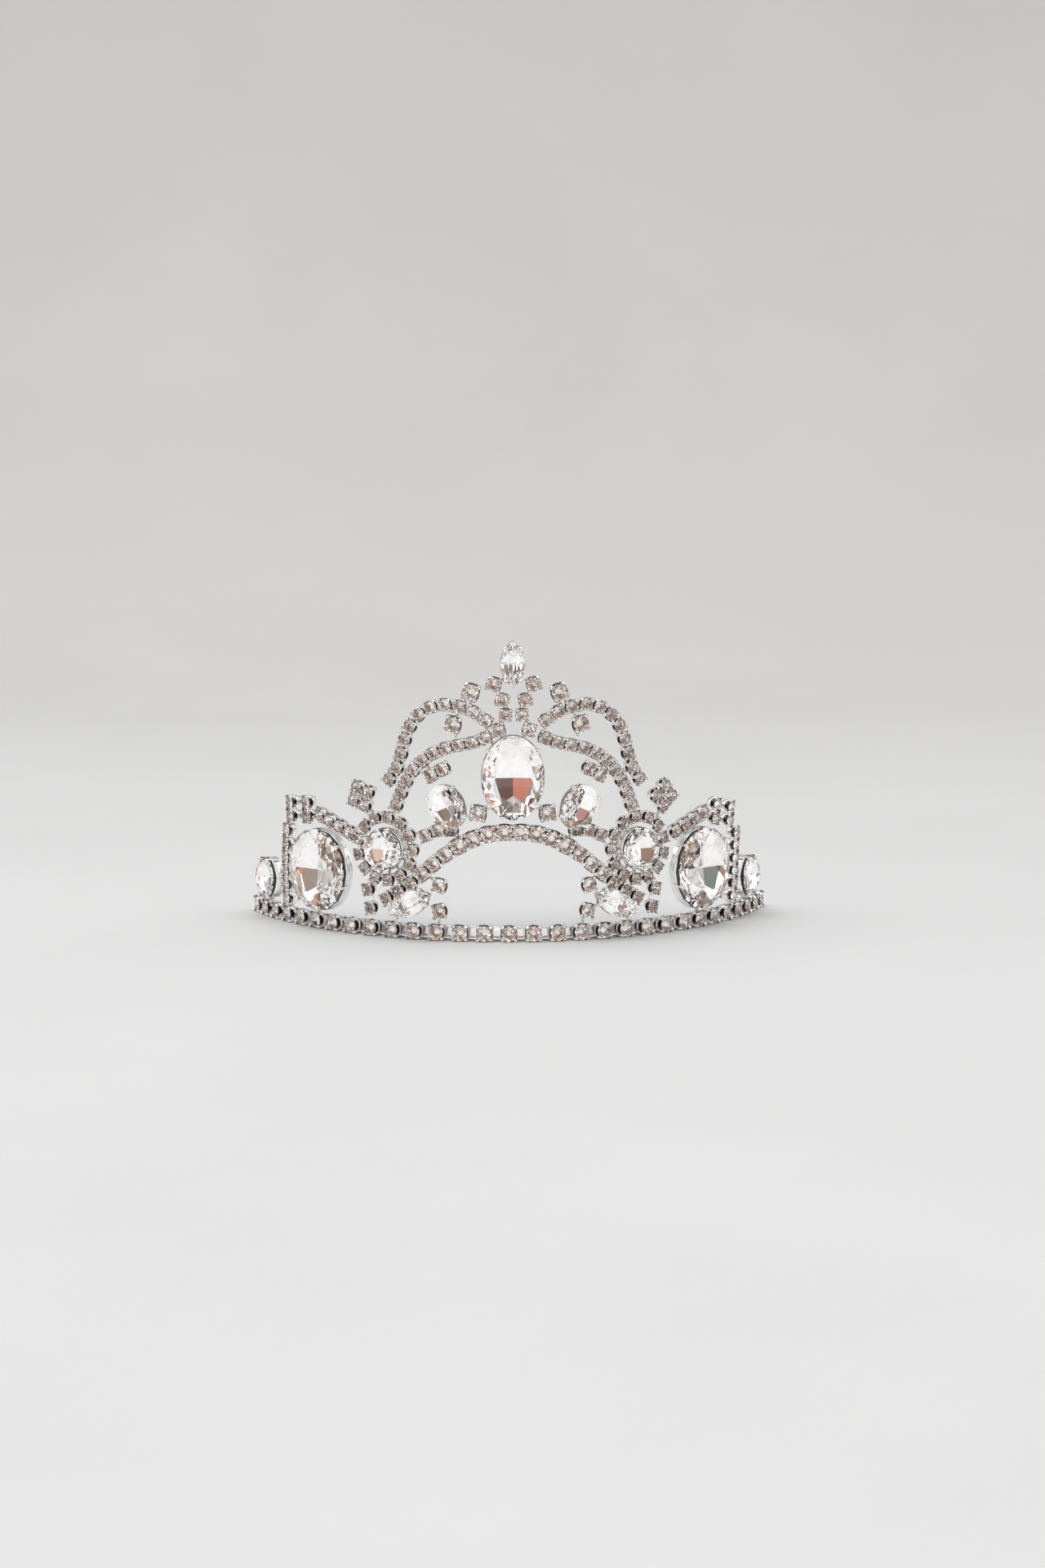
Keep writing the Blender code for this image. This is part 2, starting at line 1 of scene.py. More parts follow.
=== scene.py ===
"""Looks for the bridal tiara: plated cups, faceted foil-backed crystals, claws and band.

The tiara stands on the floor (z = 0), bent round an upright axis behind it. Its middle
faces -Y, +X is the viewer's right, +Z is up. Pieces are built in millimetres and scaled
to metres at the end; the stage, lights and camera are in metres.

Each cup and each large stone has a local frame: z outwards, y upwards, x to the
viewer's right. A cup's z = 0 is its face plane, a large stone's is its girdle.
"""

import math
from collections import namedtuple
from functools import cache
from itertools import combinations, product

import bmesh
import bpy
from mathutils import Matrix, Vector, noise
from mathutils.bvhtree import BVHTree


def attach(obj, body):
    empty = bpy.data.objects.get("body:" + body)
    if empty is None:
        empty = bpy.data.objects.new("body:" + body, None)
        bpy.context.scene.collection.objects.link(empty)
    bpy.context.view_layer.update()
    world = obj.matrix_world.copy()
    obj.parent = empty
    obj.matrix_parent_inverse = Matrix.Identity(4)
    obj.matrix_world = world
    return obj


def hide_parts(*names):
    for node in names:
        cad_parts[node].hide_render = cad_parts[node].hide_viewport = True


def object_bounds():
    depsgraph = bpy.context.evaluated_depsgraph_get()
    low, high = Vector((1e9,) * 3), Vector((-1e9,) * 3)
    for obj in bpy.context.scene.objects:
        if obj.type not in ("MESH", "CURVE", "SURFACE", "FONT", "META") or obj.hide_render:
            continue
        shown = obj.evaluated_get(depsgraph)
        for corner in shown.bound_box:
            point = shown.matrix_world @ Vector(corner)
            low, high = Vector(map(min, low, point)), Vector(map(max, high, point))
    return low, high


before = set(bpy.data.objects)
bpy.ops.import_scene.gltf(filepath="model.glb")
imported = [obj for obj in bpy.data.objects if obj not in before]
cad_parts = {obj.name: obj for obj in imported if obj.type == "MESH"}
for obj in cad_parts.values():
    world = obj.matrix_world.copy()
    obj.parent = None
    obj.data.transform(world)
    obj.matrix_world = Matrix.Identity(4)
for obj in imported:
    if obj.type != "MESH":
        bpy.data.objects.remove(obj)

CAD_BOX = [list(corner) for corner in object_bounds()]
MM = 0.001
MM_PER_METRE = 1000
TAU = 2 * math.pi
scene = bpy.context.scene

# Sizes the CAD solids were built with, in millimetres.
FOOT_SHARE = 0.84  # a cup's foot against its mouth
CUP_RIM = -0.55
CUP_TOP = 0.07
CUP_BACK = -2.3
LINK_Z = -1.75  # depth of the straps between cups
BEND_CENTRE = 42.0  # y of the axis the tiara is bent round
RAIL = 1.22  # height of the base chain's two rails above and below its middle
RING_TOP = -0.9  # lip of a large setting


# ------------------------------------------------------------------ reading the frame
FOOT_AREA_MIN, FOOT_AREA_MAX = 3.2, 8.2  # square millimetres
SAME_PLANE = 0.99995  # cosine between the normals of one flat region
OVAL_EXCESS = 0.25  # a stone taller than wide by less than this is round

Gem = namedtuple("Gem", "where half_wide half_high crown pavilion")


def node_solid(node):
    """A CAD node's mesh in millimetres."""
    solid = bmesh.new()
    solid.from_mesh(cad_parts[node].data)
    bmesh.ops.scale(solid, vec=(MM_PER_METRE,) * 3, verts=solid.verts)
    return solid


def flat_regions(node):
    """Flat faces of a CAD node: (normal, area, corners), in millimetres."""
    solid = node_solid(node)
    bmesh.ops.remove_doubles(solid, verts=solid.verts, dist=1e-3)
    solid.faces.index_update()
    seen, found = set(), []
    for face in solid.faces:
        if face.index in seen or face.calc_area() < 1e-9:
            continue
        seen.add(face.index)
        region, stack = [face], [face]
        while stack:
            for edge in stack.pop().edges:
                for other in edge.link_faces:
                    if other.index in seen or other.normal.dot(face.normal) <= SAME_PLANE:
                        continue
                    seen.add(other.index)
                    region.append(other)
                    stack.append(other)
        corners = {vert.index: vert.co.copy() for part in region for vert in part.verts}
        area = sum(part.calc_area() for part in region)
        found.append((face.normal.copy(), area, list(corners.values())))
    solid.free()
    return found


def region_corners(node):
    return [corner for _, _, corners in flat_regions(node) for corner in corners]


def frame_matrix(origin, x, z):
    x = (x - z * x.dot(z)).normalized()
    y = z.cross(x)
    turn = Matrix((x, y, z)).transposed().to_4x4()
    return Matrix.Translation(origin) @ turn


def cup_frames(node):
    """Every cup of a strand: (matrix in mm, cup size), from its square foot."""
    cups = []
    for normal, area, corners in flat_regions(node):
        if len(corners) != 4 or not FOOT_AREA_MIN < area < FOOT_AREA_MAX:
            continue
        centre = sum(corners, Vector()) / 4
        reach = [(corner - centre).length for corner in corners]
        if max(reach) - min(reach) > 0.02:
            continue
        first = corners[0]
        # two sides, then the diagonal
        gaps = sorted((corner - first).length for corner in corners[1:])
        if abs(gaps[0] - gaps[1]) > 0.02 or abs(gaps[2] - gaps[0] * math.sqrt(2)) > 0.03:
            continue
        near = min(corners[1:], key=lambda corner: (corner - first).length)
        size = gaps[0] / FOOT_SHARE
        # cups come in whole tenths of a millimetre
        if abs(size * 10 - round(size * 10)) > 0.12:
            continue
        # a foot faces inwards, so the cup faces the other way
        normal = -normal
        if normal.dot(Vector((centre.x, centre.y - BEND_CENTRE, 0))) < 0:
            continue
        side = near - first
        if abs(side.z) > abs(side.cross(normal).z):
            side = side.cross(normal)
        if side.cross(normal).z > 0:
            side = -side
        where = frame_matrix(centre - normal * CUP_BACK, side, normal)
        cups.append((where, round(size, 1)))
    return cups


def read_gem(node):
    """A large stone's frame at its girdle, half sizes, and heights of crown and pavilion."""
    regions = flat_regions(node)
    normal, _, table = max(regions, key=lambda region: region[1])
    middle = sum(table, Vector()) / len(table)
    points = [corner for _, _, corners in regions for corner in corners]
    flats = [(p - middle) - normal * (p - middle).dot(normal) for p in points]
    longest = max(flats, key=lambda flat: flat.length)
    up = longest.normalized()
    half_high = longest.length
    half_wide = max(abs(flat.cross(up).length) for flat in flats)
    if half_high - half_wide < OVAL_EXCESS:
        up = Vector((0, 0, 1)) - normal * normal.z
        up.normalize()
        half_high = half_wide = max(half_high, half_wide)
    if up.z < 0:
        up = -up
    rim = [
        (point - middle).dot(normal)
        for point, flat in zip(points, flats)
        if flat.length > 0.999 * longest.length
    ]
    girdle = 0.5 * (min(rim) + max(rim))
    low = min((point - middle).dot(normal) for point in points)
    where = frame_matrix(middle + normal * girdle, up.cross(normal), normal)
    return Gem(where, half_wide, half_high, crown=-girdle, pavilion=girdle - low)


# ------------------------------------------------------------------ mesh helpers
def grid_faces(solid, rings):
    count = len(rings[0])
    for ring, following in zip(rings, rings[1:]):
        for i in range(count):
            j = (i + 1) % count
            solid.faces.new((ring[i], ring[j], following[j], following[i]))


def ring_of(solid, points):
    return [solid.verts.new(point) for point in points]


def cap(solid, ring, flip=False):
    middle = solid.verts.new(sum((vert.co for vert in ring), Vector()) / len(ring))
    for i in range(len(ring)):
        j = (i + 1) % len(ring)
        pair = (ring[j], ring[i]) if flip else (ring[i], ring[j])
        solid.faces.new((middle, *pair))


def capped_skin(solid, rings):
    """Skin over a row of rings, closed at both ends."""
    grid_faces(solid, rings)
    cap(solid, rings[0], flip=True)
    cap(solid, rings[-1])


def looped_skin(solid, rings):
    """Skin over rings that come round to the first again."""
    grid_faces(solid, rings + [rings[0]])


def sweep(solid, path, sections, up):
    """Closed tube along a path; sections are (half width, half thickness)."""
    steps = 10
    rings = []
    for k, point in enumerate(path):
        ahead = path[min(k + 1, len(path) - 1)] - path[max(k - 1, 0)]
        ahead.normalize()
        side = ahead.cross(up)
        side.normalize()
        over = side.cross(ahead)
        wide, thick = sections[k]
        outline = [
            point
            + side * (wide * math.cos(TAU * i / steps))
            + over * (thick * math.sin(TAU * i / steps))
            for i in range(steps)
        ]
        rings.append(ring_of(solid, outline))
    capped_skin(solid, rings)


def spline(padded, steps):
    """Catmull-Rom curve through all points but the two end ones, which only steer it."""
    curve = []
    for p0, p1, p2, p3 in zip(padded, padded[1:], padded[2:], padded[3:]):
        for step in range(steps):
            t = step / steps
            curve.append(
                0.5
                * (
                    2 * p1
                    + (p2 - p0) * t
                    + (2 * p0 - 5 * p1 + 4 * p2 - p3) * t * t
                    + (3 * p1 - p0 - 3 * p2 + p3) * t**3
                )
            )
    return curve + [padded[-2]]


def square_point(angle, half, power):
    """Point on a rounded square; a higher power gives sharper corners."""
    x, y = math.cos(angle), math.sin(angle)
    reach = (abs(x) ** power + abs(y) ** power) ** (-1.0 / power)
    return half * reach * x, half * reach * y


def angle_apart(angle, other):
    return abs((angle - other + math.pi) % TAU - math.pi)


def finish_template(solid):
    bmesh.ops.recalc_face_normals(solid, faces=solid.faces)
    mesh = bpy.data.meshes.new("template")
    solid.to_mesh(mesh)
    solid.free()
    return mesh


def stamp(solid, mesh, matrix):
    """Adds a copy of a template mesh, placed by the matrix."""
    before = len(solid.verts)
    solid.from_mesh(mesh)
    solid.verts.ensure_lookup_table()
    bmesh.ops.transform(solid, matrix=matrix, verts=solid.verts[before:])


def settle(solid, where=None):
    """Turns the faces outwards and, given a frame, moves the solid into it."""
    bmesh.ops.recalc_face_normals(solid, faces=solid.faces)
    if where is not None:
        bmesh.ops.transform(solid, matrix=where, verts=solid.verts)


def shade_smooth(mesh):
    for polygon in mesh.polygons:
        polygon.use_smooth = True


def piece_from(solid, name, materials, smooth=None, replaces=()):
    """A finished piece, scaled to metres; smooth is the sharp-edge angle in degrees."""
    bmesh.ops.scale(solid, vec=(MM, MM, MM), verts=solid.verts)
    mesh = bpy.data.meshes.new(name)
    solid.to_mesh(mesh)
    solid.free()
    made = bpy.data.objects.new(name, mesh)
    scene.collection.objects.link(made)
    for material in materials:
        mesh.materials.append(material)
    if smooth is not None:
        shade_smooth(mesh)
        mesh.set_sharp_from_angle(angle=math.radians(smooth))
    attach(made, "root")
    if replaces:
        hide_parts(*replaces)


# ------------------------------------------------------------------ materials
class Nodes:
    """Small helper that adds nodes and links them by socket name."""

    def __init__(self, tree):
        self.tree = tree
        tree.nodes.clear()

    def add(self, kind, inputs=None, **settings):
        node = self.tree.nodes.new(kind)
        for key, value in settings.items():
            setattr(node, key, value)
        for key, value in (inputs or {}).items():
            self.set(node, key, value)
        return node

    def set(self, node, key, value):
        socket = node.inputs[key]
        if isinstance(value, bpy.types.NodeSocket):
            self.tree.links.new(value, socket)
        else:
            socket.default_value = value

    def ramp(self, source, stops):
        """Colour ramp; stops are (position, colour)."""
        node = self.add("ShaderNodeValToRGB", {"Fac": source})
        while len(node.color_ramp.elements) < len(stops):
            node.color_ramp.elements.new(0.5)
        for element, (position, colour) in zip(node.color_ramp.elements, stops):
            element.position = position
            element.color = (*colour, 1.0)
        return node.outputs["Color"]

    def math(self, operation, first, second=0.0, clamp=False):
        node = self.add("ShaderNodeMath", {0: first, 1: second}, operation=operation)
        node.use_clamp = clamp
        return node.outputs[0]

    def mix(self, factor, first, second):
        """Blend of two colours; sockets 0, 6 and 7 are the colour mix's own."""
        node = self.add("ShaderNodeMix", data_type="RGBA")
        for key, value in ((0, factor), (6, first), (7, second)):
            self.set(node, key, (*value, 1.0) if isinstance(value, tuple) else value)
        return node.outputs[2]

    def noise(self, scale, detail=3.0, rough=0.5, stretch=(1, 1, 1)):
        """Noise over object space, its scale counted per millimetre."""
        where = self.add("ShaderNodeTexCoord").outputs["Object"]
        per_mm = tuple(float(MM_PER_METRE) * s for s in stretch)
        mapping = self.add("ShaderNodeMapping", {"Vector": where, "Scale": per_mm})
        return self.add(
            "ShaderNodeTexNoise",
            {
                "Vector": mapping.outputs["Vector"],
                "Scale": scale,
                "Detail": detail,
                "Roughness": rough,
            },
        ).outputs["Fac"]

    def bump(self, strength, distance, height):
        inputs = {"Strength": strength, "Distance": distance, "Height": height}
        return self.add("ShaderNodeBump", inputs).outputs["Normal"]

    def principled(self, inputs):
        return self.add("ShaderNodeBsdfPrincipled", inputs).outputs[0]

    def surface(self, shader, kind="ShaderNodeOutputMaterial"):
        self.add(kind, {"Surface": shader})


def grey(value):
    return (value,) * 3


def new_material(name):
    made = bpy.data.materials.new(name)
    made.use_nodes = True
    return made, Nodes(made.node_tree)


def plated_metal(name, bright, dull, roughest, smoothest, bump=0.25, grain=5.0):
    """Bright plate: cloudy colour, smudged polish, fine hammered and scratched bump."""
    made, nodes = new_material(name)
    cloud = nodes.noise(0.55, detail=4.0, rough=0.6)
    smudge = nodes.noise(2.3, detail=5.0, rough=0.65)
    hammering = nodes.noise(grain, detail=3.0, rough=0.55)
    scratch = nodes.noise(3.0, detail=2.0, rough=0.5, stretch=(1.0, 1.0, 9.0))
    # the clouds' darker parts, below 0.38, are wholly dull
    over = nodes.math("SUBTRACT", cloud, 0.38, clamp=True)
    colour = nodes.mix(nodes.math("MULTIPLY", over, 2.4, clamp=True), dull, bright)
    rough = nodes.ramp(smudge, [(0.32, grey(smoothest)), (0.68, grey(roughest))])
    height = nodes.math(
        "ADD", nodes.math("MULTIPLY", hammering, 0.7), nodes.math("MULTIPLY", scratch, 0.5)
    )
    shader = nodes.principled(
        {
            "Base Color": colour,
            "Metallic": 1.0,
            "Roughness": rough,
            "Normal": nodes.bump(strength=bump, distance=0.00004, height=height),
        }
    )
    nodes.surface(shader)
    made.diffuse_color = (*bright, 1.0)
    return made


def crystal_glass(name, ior):
    """Clear cut glass, with the faintest tint clouds and polishing haze."""
    made, nodes = new_material(name)
    cool, warm = (0.985, 0.99, 1.0), (1.0, 0.99, 0.975)
    tint = nodes.ramp(nodes.noise(0.35, detail=2.0), [(0.3, cool), (0.7, warm)])
    haze = nodes.ramp(nodes.noise(1.6), [(0.35, grey(0.0)), (0.8, grey(0.02))])
    shader = nodes.principled(
        {"Base Color": tint, "Roughness": haze, "IOR": ior, "Transmission Weight": 1.0}
    )
    nodes.surface(shader)
    made.diffuse_color = (0.9, 0.92, 0.95, 1.0)
    return made


def foiled_back(name, grain, silver, paint):
    """A mirror seen through the stone, painted outside.

    silver is (clean, toned), in patches of the given grain; paint is (deep, worn).
    """
    made, nodes = new_material(name)
    clean, toned = silver
    deep, worn = paint
    silvering = nodes.ramp(nodes.noise(grain), [(0.44, clean), (0.56, toned)])
    mirror = nodes.principled({"Base Color": silvering, "Metallic": 1.0, "Roughness": 0.0})
    coat = nodes.ramp(nodes.noise(2.2, detail=4.0), [(0.3, deep), (0.75, worn)])
    dull = nodes.ramp(nodes.noise(3.5), [(0.3, grey(0.28)), (0.7, grey(0.5))])
    lacquer = nodes.principled({"Base Color": coat, "Roughness": dull})
    inside = nodes.add("ShaderNodeNewGeometry").outputs["Backfacing"]
    both = nodes.add("ShaderNodeMixShader", {"Fac": inside, 1: lacquer, 2: mirror})
    nodes.surface(both.outputs[0])
    made.diffuse_color = (0.1, 0.1, 0.1, 1.0)
    return made


def pale_paper():
    made, nodes = new_material("pale_paper")
    darker, lighter = (0.60, 0.608, 0.61), (0.625, 0.633, 0.635)
    shade = nodes.ramp(nodes.noise(0.01), [(0.3, darker), (0.7, lighter)])
    fibre = nodes.noise(1.2, detail=4.0)
    sheet = nodes.principled(
        {
            "Base Color": shade,
            "Roughness": 0.75,
            "Normal": nodes.bump(strength=0.05, distance=0.0002, height=fibre),
        }
    )
    nodes.surface(sheet)
    return made


cup_metal = plated_metal(
    "plated_cups",
    bright=(0.95, 0.94, 0.93),
    dull=(0.83, 0.82, 0.81),
    roughest=0.26,
    smoothest=0.12,
)
claw_metal = plated_metal(
    "polished_claws",
    bright=(0.95, 0.94, 0.93),
    dull=(0.82, 0.80, 0.78),
    roughest=0.15,
    smoothest=0.05,
    bump=0.12,
)
band_metal = plated_metal(
    "polished_band",
    bright=(0.94, 0.93, 0.92),
    dull=(0.84, 0.825, 0.81),
    roughest=0.2,
    smoothest=0.08,
    bump=0.1,
    grain=2.0,
)
solder_metal = plated_metal(
    "solder",
    bright=(0.80, 0.79, 0.78),
    dull=(0.60, 0.585, 0.57),
    roughest=0.42,
    smoothest=0.25,
    bump=0.5,
    grain=3.0,
)
glass = crystal_glass("cut_glass", ior=1.57)
small_glass = crystal_glass("small_cut_glass", ior=1.6)

# (clean, toned) silver and (deep, worn) paint
SILVERED = ((0.985, 0.985, 0.985), (0.94, 0.935, 0.93))
TONED = ((0.97, 0.965, 0.96), (0.72, 0.64, 0.60))
LACQUER = ((0.016, 0.016, 0.014), (0.05, 0.048, 0.04))
PAINT = ((0.10, 0.095, 0.085), (0.20, 0.185, 0.16))
foil = foiled_back("foiled_back", grain=0.5, silver=SILVERED, paint=PAINT)
girdle_lacquer = foiled_back("girdle_lacquer", grain=0.5, silver=SILVERED, paint=LACQUER)
small_foil = foiled_back("small_foiled_back", grain=1.0, silver=TONED, paint=LACQUER)


# ------------------------------------------------------------------ small cups
CUP_STEPS = 32
CUP_BOW = 3.4  # squareness of a cup's outline
CUP_HALF = 0.57  # half the mouth, as a share of the cup's size
CUP_WALL = 0.16
FOOT_RISE = 0.16  # height of the rounded edge round the foot
PRONG_CUP = 2.6  # cup size the prong widths were taken at

# a prong from root to tip: share of the corner's reach, z, half width, half thickness
PRONG = [
    (0.90, -1.4, 0.28, 0.11),
    (0.97, -0.9, 0.34, 0.15),
    (0.99, -0.45, 0.36, 0.19),
    (0.94, -0.12, 0.35, 0.21),
    (0.82, 0.08, 0.31, 0.19),
    (0.68, 0.08, 0.24, 0.13),
    (0.60, 0.0, 0.1, 0.05),
]


def cup_bowl(solid, half):
    """Bowed, tapered wall with a scalloped lip, a foot and a floor inside."""
    angles = [TAU * (i + 0.5) / CUP_STEPS for i in range(CUP_STEPS)]
    # the lip rises at the corners and dips between them
    lips = [CUP_RIM - 0.62 + 0.5 * abs(math.sin(2 * angle)) ** 3 for angle in angles]

    def outer_half(share):
        """Half width of the wall at a share of its height."""
        taper = FOOT_SHARE + (1 - FOOT_SHARE) * share
        return half * (taper + 0.03 * math.sin(math.pi * share))

    def row(reach, heights):
        points = [(*square_point(a, reach, CUP_BOW), z) for a, z in zip(angles, heights)]
        return ring_of(solid, points)

    def level(z):
        return [z] * CUP_STEPS

    # foot: share of its half width, rise above the back
    rings = [
        row(outer_half(0.0) * inset, level(CUP_BACK + rise))
        for inset, rise in ((0.72, 0.0), (0.93, 0.02), (1.0, FOOT_RISE))
    ]
    for share in (0.25, 0.5, 0.75, 0.94):
        heights = [
            CUP_BACK + FOOT_RISE + share * (lip - CUP_BACK - FOOT_RISE) for lip in lips
        ]
        rings.append(row(outer_half(share), heights))
    # over the lip and down the inside
    rings.append(row(outer_half(1.0) - 0.03, lips))
    rings.append(row(outer_half(1.0) - CUP_WALL + 0.02, lips))
    rings.append(row(outer_half(0.95) - CUP_WALL, [lip - 0.08 for lip in lips]))
    rings.append(row(outer_half(0.3) - CUP_WALL, level(CUP_BACK + 0.7)))
    capped_skin(solid, rings)


@cache
def cup_template(size):
    """Stamped cup with four corner prongs."""
    solid = bmesh.new()
    half = CUP_HALF * size
    cup_bowl(solid, half)
    scale = size / PRONG_CUP
    sections = [(wide * scale, thick) for _, _, wide, thick in PRONG]
    for corner in range(4):
        angle = TAU * (corner + 0.5) / 4
        out = Vector((math.cos(angle), math.sin(angle), 0))
        reach = math.hypot(*square_point(angle, half, CUP_BOW))
        path = [out * (reach * share) + Vector((0, 0, z)) for share, z, _, _ in PRONG]
        sweep(solid, path, sections, out)
    return finish_template(solid)


# ------------------------------------------------------------------ cuts of stone
def oval_placer(solid, half_wide, half_high):
    """Maker of vertices at (angle, share of the outline, z)."""

    def place(angle, share, z):
        x = half_wide * share * math.cos(angle)
        y = half_high * share * math.sin(angle)
        return solid.verts.new((x, y, z))

    return place


def rim_pair(solid, tip, rim, k):
    """Two facets from a tip to the k-th pair of the sixteen girdle edges."""
    return [
        solid.faces.new((tip, rim[2 * k], rim[2 * k + 1])),
        solid.faces.new((tip, rim[2 * k + 1], rim[(2 * k + 2) % 16])),
    ]


def crown_facets(solid, place, crown, table, girdle):
    """Table, eight star facets, eight kites and sixteen girdle facets."""
    eighth = TAU / 8
    top = [place(eighth * k, table, crown) for k in range(8)]
    middle_share = table + (1 - table) * 0.56
    middle_z = girdle + (crown - girdle) * 0.56
    middle = [place(eighth * (k + 0.5), middle_share, middle_z) for k in range(8)]
    upper = [place(eighth * k / 2, 1.0, girdle) for k in range(16)]
    solid.faces.new(top)
    for k in range(8):
        solid.faces.new((top[k], middle[k], top[(k + 1) % 8]))
        solid.faces.new((top[k], middle[k - 1], upper[2 * k], middle[k]))
        rim_pair(solid, middle[k], upper, k)
    return upper


def girdle_band(solid, upper, lower):
    return [
        solid.faces.new((upper[k], lower[k], lower[(k + 1) % 16], upper[(k + 1) % 16]))
        for k in range(16)
    ]


def paint_faces(faces, index):
    for face in faces:
        face.material_index = index


@cache
def small_stone_template(size):
    """A small round brilliant: eight pavilion mains behind a lacquered girdle."""
    radius = 0.515 * size
    pavilion = 0.8 * radius
    base = -0.36  # lower edge of the girdle, whose upper edge is at 0
    solid = bmesh.new()
    place = oval_placer(solid, radius, radius)
    upper = crown_facets(solid, place, crown=0.42, table=0.48, girdle=0.0)
    lower = [place(TAU * k / 16, 0.985, base) for k in range(16)]
    backs = girdle_band(solid, upper, lower)
    culet = place(0.0, 0.0, base - pavilion)
    ring = [place(TAU / 8 * (k + 0.5), 0.6, base - pavilion * 0.46) for k in range(8)]
    for k in range(8):
        backs.append(solid.faces.new((culet, ring[k - 1], lower[2 * k], ring[k])))
        backs += rim_pair(solid, ring[k], lower, k)
    paint_faces(backs, 1)
    bmesh.ops.translate(solid, vec=(0, 0, CUP_TOP - 0.34), verts=solid.verts)
    return finish_template(solid)


def quadrant_stone(solid, gem, table, girdle, band):
    """A large stone: brilliant crown over four big, shallow foiled quadrants."""
    depth = 0.76 * gem.pavilion
    fall = 0.21 * gem.half_wide  # how fast the quadrants drop to the point
    place = oval_placer(solid, gem.half_wide, gem.half_high)

    def spot(x, y):
        z = -depth + fall * (abs(x) + abs(y))
        return place(math.atan2(y, x), math.hypot(x, y), z)

    upper = crown_facets(solid, place, gem.crown, table, girdle)
    lower = [place(TAU * k / 16, 0.99, girdle - band) for k in range(16)]
    paint_faces(girdle_band(solid, upper, lower), 2)
    culet = place(0.0, 0.0, -depth)
    # the quadrants' corners, in shares of the half width and half height
    inner = [spot(x, y) for x, y in ((0.6, 0), (0, 0.42), (-0.6, 0), (0, -0.42))]
    outer = [
        spot(x, y) for x, y in ((0.4, 0.62), (-0.4, 0.62), (-0.4, -0.62), (0.4, -0.62))
    ]
    for k in range(4):
        following = inner[(k + 1) % 4]
        before, start, one = lower[4 * k - 1], lower[4 * k], lower[4 * k + 1]
        two, three = lower[4 * k + 2], lower[4 * k + 3]
        facets = (
            (culet, inner[k], outer[k], following),
            (inner[k], start, one),
            (inner[k], before, start),
            (inner[k], one, outer[k]),
            (outer[k], one, two),
            (outer[k], two, three),
            (outer[k], three, following),
        )
        paint_faces([solid.faces.new(facet) for facet in facets], 1)


def navette_point(angle, half_wide, half_high, grow=0.0):
    """Point on an outline of two arcs that meet in points at top and bottom."""
    wide, high = half_wide + grow, half_high + 1.6 * grow
    radius = (high * high + wide * wide) / (2 * wide)
    y = high * math.sin(angle)
    x = math.sqrt(max(radius * radius - y * y, 0.0)) - (radius - wide)
    return (x if math.cos(angle) >= 0 else -x), y


def oval_point(angle, half_wide, half_high, grow=0.0):
    return (half_wide + grow) * math.cos(angle), (half_high + grow) * math.sin(angle)


def navette_stone(solid, gem, table, girdle):
    """Marquise cut: the brilliant's facets carried on to a pointed outline."""

    def place(k, share, z):
        x, y = navette_point(TAU * k / 16, gem.half_wide, gem.half_high)
        return solid.verts.new((x * share, y * share, z))

    top = [place(2 * k, table, gem.crown) for k in range(8)]
    middle_share = table + (1 - table) * 0.55
    middle_z = girdle + (gem.crown - girdle) * 0.52
    middle = [place(2 * k + 1, middle_share, middle_z) for k in range(8)]
    upper = [place(k, 1.0, girdle) for k in range(16)]
    lower = [place(k, 1.0, -girdle) for k in range(16)]
    solid.faces.new(top)
    for k in range(8):
        solid.faces.new((top[k], middle[k], top[(k + 1) % 8]))
        solid.faces.new((top[k], middle[k - 1], upper[2 * k]))
        solid.faces.new((top[k], upper[2 * k], middle[k]))
        rim_pair(solid, middle[k], upper, k)
    girdle_band(solid, upper, lower)
    keel_low, keel_high = [
        solid.verts.new((0, share * gem.half_high, -gem.pavilion)) for share in (-0.3, 0.3)
    ]
    ring = [place(2 * k + 1, 0.56, -gem.pavilion * 0.55) for k in range(8)]
    backs = []
    for k in range(8):
        end = keel_high if ring[k].co.y > 0 else keel_low
        before = keel_high if ring[k - 1].co.y > 0 else keel_low
        backs.append(solid.faces.new((ring[k - 1], lower[2 * k], ring[k])))
        if end is before:
            backs.append(solid.faces.new((end, ring[k - 1], ring[k])))
        else:
            backs.append(solid.faces.new((before, ring[k - 1], ring[k], end)))
        backs += rim_pair(solid, ring[k], lower, k)
    paint_faces(backs, 1)


# ------------------------------------------------------------------ strands of cups
STRAP_REACH = 7.2  # cups further apart than this are never strapped
CHAIN_REACH = 5.6  # the same along the base chain
BEAD_RADIUS = 0.45
GOLDEN_ANGLE = 2.399963


def link_point(where):
    return where @ Vector((0, 0, LINK_Z))


def strap(solid, first, second, height=0.0, wide=0.9, thick=0.42):
    """Rounded strap between two cups' sides, bowed a little outwards."""
    (first_where, first_size), (second_where, second_size) = first, second
    lift = Vector((0, 0, height))
    start = link_point(first_where) + lift
    end = link_point(second_where) + lift
    run = (end - start).normalized()
    start = start + run * (0.46 * first_size - 0.35)
    end = end - run * (0.46 * second_size - 0.35)
    out = (first_where.col[2].to_3d() + second_where.col[2].to_3d()).normalized()
    side = run.cross(out).normalized()
    outline = [square_point(TAU * i / 12, 0.5, 3.2) for i in range(12)]
    rings = []
    for k in range(5):
        share = k / 4
        centre = start.lerp(end, share) + out * (0.07 * math.sin(math.pi * share))
        waist = 1.0 - 0.14 * math.sin(math.pi * share)
        points = [centre + side * x * wide * waist + out * y * thick for x, y in outline]
        rings.append(ring_of(solid, points))
    capped_skin(solid, rings)


